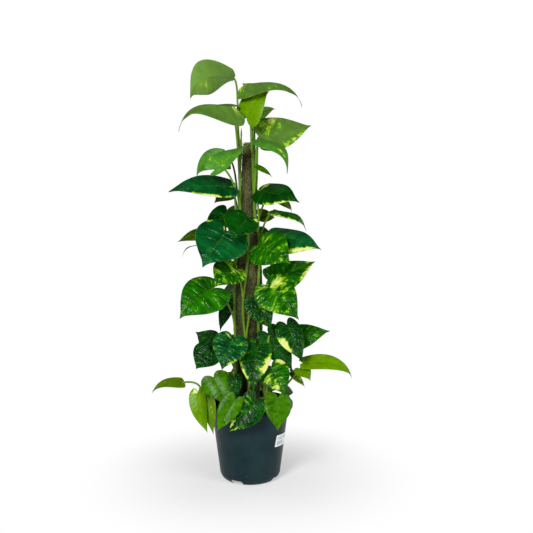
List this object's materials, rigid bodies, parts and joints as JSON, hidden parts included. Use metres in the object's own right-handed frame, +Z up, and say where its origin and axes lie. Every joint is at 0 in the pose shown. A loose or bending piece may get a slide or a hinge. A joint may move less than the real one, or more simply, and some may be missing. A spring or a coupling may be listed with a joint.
{
  "type": "golden pothos on a coir pole in a nursery pot",
  "caption": "Potted golden pothos climbing a coir pole: marbled heart-shaped leaves on long stalks, climbing stems and young shoots, in soil in a round black nursery pot with drain slots.",
  "frame": {"origin": "middle of the pot's flat foot, on the surface it stands on", "axes": "+Z up along the pot's axis, -Y to the side seen from the front, +X to the right as seen from the front"},
  "size_m": [0.5483, 0.3276, 1.1377],
  "materials": {
    "pot_plastic": "satin",
    "potting_mix": "matte",
    "stake_wood": "matte",
    "coir": "matte",
    "label_paper": "satin",
    "foliage": "satin",
    "young_foliage": "satin"
  },
  "bodies": {
    "root": {"pot": "pot_plastic", "soil": "potting_mix", "pole_core": "stake_wood", "coir_wrap": "coir", "label": "label_paper", "vine_left_front": "foliage", "vine_right_front": "foliage", "vine_front": "foliage", "vine_right_back": "foliage", "vine_left_back": "foliage", "vine_back": "foliage", "shoot_right": "young_foliage", "shoot_left": "young_foliage", "shoot_front_left": "young_foliage", "shoot_front_right": "young_foliage", "shoot_back_left": "young_foliage", "shoot_back_right": "young_foliage"}
  },
  "joints": []
}
